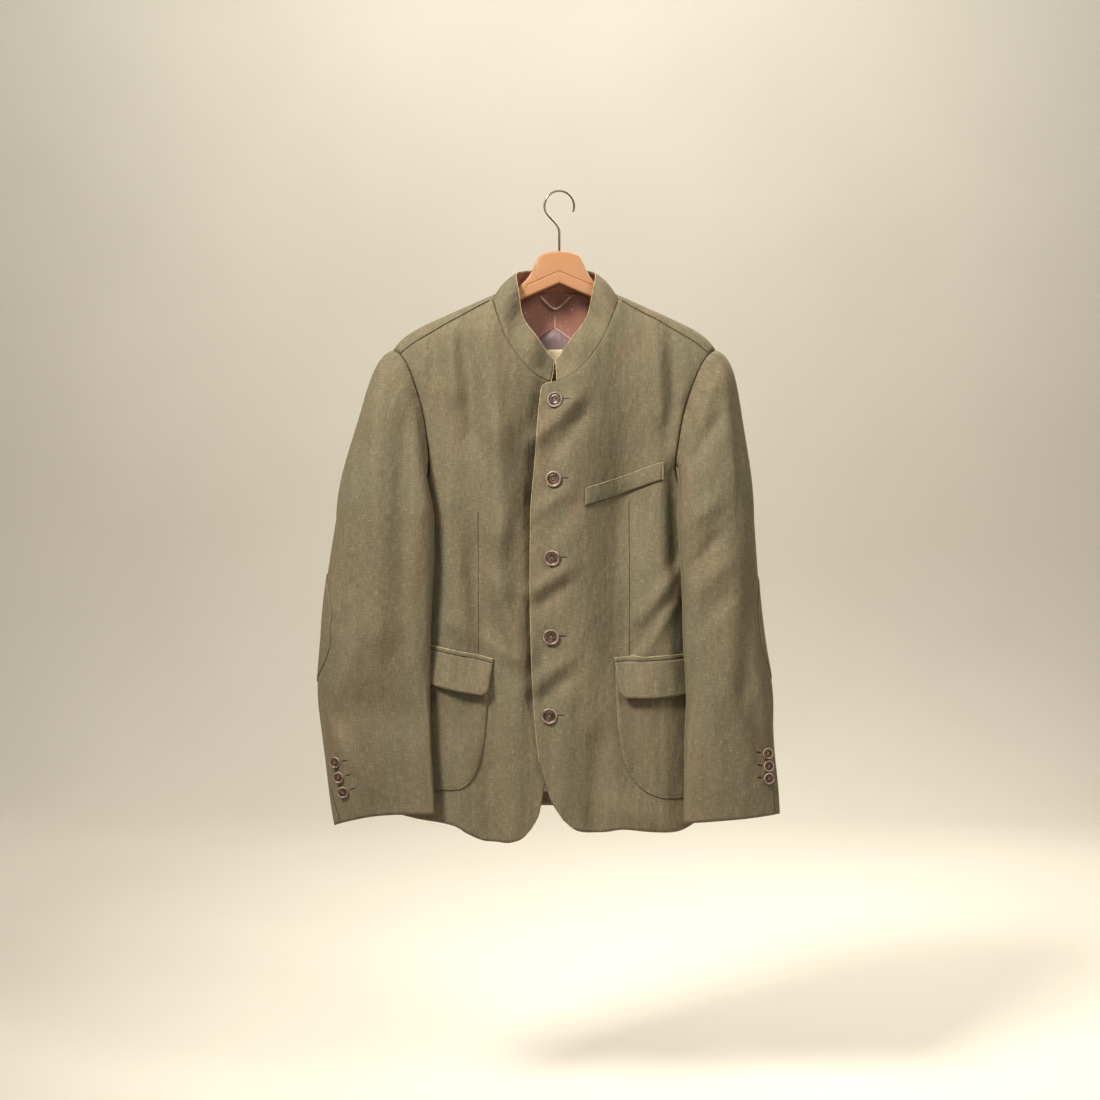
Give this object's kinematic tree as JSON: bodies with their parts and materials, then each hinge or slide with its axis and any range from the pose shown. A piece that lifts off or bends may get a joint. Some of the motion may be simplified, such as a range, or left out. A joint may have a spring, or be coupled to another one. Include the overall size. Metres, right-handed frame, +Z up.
{
  "type": "linen jacket on a wooden hanger",
  "caption": "Linen jacket with a stand collar, buttoned front, chest welt, flapped patch pockets and elbow patches, hanging on a wooden hanger with a wire hook.",
  "frame": {"origin": "top of the inside of the hook's crook, where a rail bears", "axes": "+Z up, -Y toward the viewer who faces the jacket's front, +X toward the wearer's left"},
  "size_m": [0.6337, 0.1361, 0.896],
  "materials": {
    "linen": "cross-dyed plain weave with slubs",
    "horn": "polished horn",
    "facing_satin": "satin",
    "lining_satin": "satin",
    "loop_satin": "satin",
    "beech": "lacquered",
    "hook_steel": "plated wire"
  },
  "bodies": {
    "root": {"front_left": "linen", "front_right": "linen", "back": "linen", "collar": "linen", "sleeve_left_top": "linen", "sleeve_left_under": "linen", "sleeve_right_top": "linen", "sleeve_right_under": "linen", "elbow_patch_left": "linen", "elbow_patch_right": "linen", "pocket_left": "linen", "pocket_right": "linen", "flap_left": "linen", "flap_right": "linen", "flap_welt_left": "linen", "flap_welt_right": "linen", "chest_welt": "linen", "front_button_1": "horn", "front_button_2": "horn", "front_button_3": "horn", "front_button_4": "horn", "front_button_5": "horn", "cuff_button_left_1": "horn", "cuff_button_left_2": "horn", "cuff_button_left_3": "horn", "cuff_button_right_1": "horn", "cuff_button_right_2": "horn", "cuff_button_right_3": "horn", "neck_facing": "facing_satin", "back_lining": "lining_satin", "hang_loop": "loop_satin", "hanger_left": "beech", "hanger_right": "beech", "hanger_hook": "hook_steel"}
  },
  "joints": []
}
